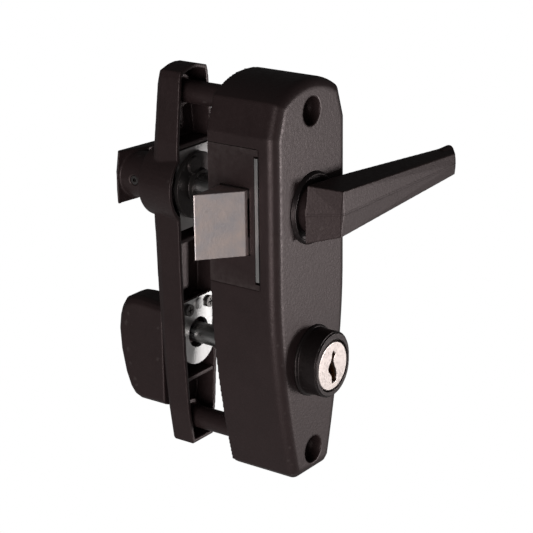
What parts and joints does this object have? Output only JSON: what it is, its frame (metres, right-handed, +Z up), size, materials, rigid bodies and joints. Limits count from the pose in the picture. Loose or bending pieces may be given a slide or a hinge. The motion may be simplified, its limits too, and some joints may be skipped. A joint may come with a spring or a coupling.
{
  "type": "rim door latch",
  "caption": "Surface-mounted latch set for a thin door: keyed case with spring bolt and lever on one side, slim plate with lever and snib on the other.",
  "frame": {"origin": "midway between the two fixing centres, on the plane where the keyed case bears on the door", "axes": "+X across the door away from the latch edge (the bolt points to -X), +Y through the door from the keyed side to the snib side, +Z up"},
  "size_m": [0.0841, 0.0718, 0.1045],
  "materials": {
    "coated_black": "satin brown-black powder coat",
    "plated_steel": "bright zinc plated, satin",
    "bolt_metal": "satin die-cast",
    "plug_metal": "satin nickel",
    "pin_brass": "plain",
    "spring_steel": "plain spring wire",
    "hub_dark": "dark phosphate"
  },
  "bodies": {
    "lock_frame": {"case_shell": "coated_black", "bolt_guide": "coated_black", "chassis_plate": "plated_steel", "chassis_screws": "plated_steel", "back_plate": "plated_steel", "back_plate_screws": "plated_steel", "lever_bush": "coated_black", "fixing_screws": "hub_dark", "lever_spring": "spring_steel", "bolt_spring": "spring_steel", "cylinder_body": "coated_black", "driver_pins": "pin_brass", "pin_springs": "spring_steel", "cylinder_clip": "spring_steel", "handle_plate": "coated_black", "retainer_plate": "plated_steel", "inner_lever_spring": "spring_steel", "detent_plate": "plated_steel", "detent_screws": "plated_steel"},
    "levers": {"outer_lever": "coated_black", "lever_clip": "spring_steel", "follower": "bolt_metal", "spindle": "plated_steel", "spindle_hub": "hub_dark", "inner_lever": "coated_black", "lever_grub_screw": "spring_steel"},
    "bolt": {"latch_bolt": "bolt_metal"},
    "snib": {"snib": "coated_black", "snib_shaft": "plated_steel", "snib_circlip": "spring_steel", "tailbar": "plated_steel", "lock_cam": "bolt_metal"},
    "deadlock": {"lock_slide": "plated_steel"},
    "plug": {"cylinder_plug": "plug_metal", "key_pins": "pin_brass"}
  },
  "joints": [
    {"name": "lever_turn", "type": "hinge", "parent": "lock_frame", "child": "levers", "pos_m": [0, 0, 0.0205], "axis": [0, 1, 0], "range_deg": [0, 40], "stiffness_Nm_per_rad": 0.35, "springref_deg": -20.05, "deforming": ["lever_spring", "inner_lever_spring"]},
    {"name": "bolt_slide", "type": "slide", "parent": "lock_frame", "child": "bolt", "axis": [1, 0, 0], "range_m": [0, 0.011], "deforming": ["bolt_spring"]},
    {"name": "snib_turn", "type": "hinge", "parent": "lock_frame", "child": "snib", "pos_m": [0, 0, -0.0204], "axis": [0, -1, 0], "range_deg": [0, 90]},
    {"name": "deadlock_rise", "type": "slide", "parent": "lock_frame", "child": "deadlock", "axis": [0, 0, 1], "range_m": [0, 0.00751]},
    {"name": "key_turn", "type": "hinge", "parent": "lock_frame", "child": "plug", "pos_m": [0, 0, -0.0204], "axis": [0, -1, 0], "range_deg": [0, 90]}
  ],
  "couplings": [
    {"joint": "bolt_slide", "follows": "lever_turn", "m_per_rad": 0.015756},
    {"joint": "deadlock_rise", "follows": "snib_turn", "m_per_rad": 0.0047717}
  ]
}
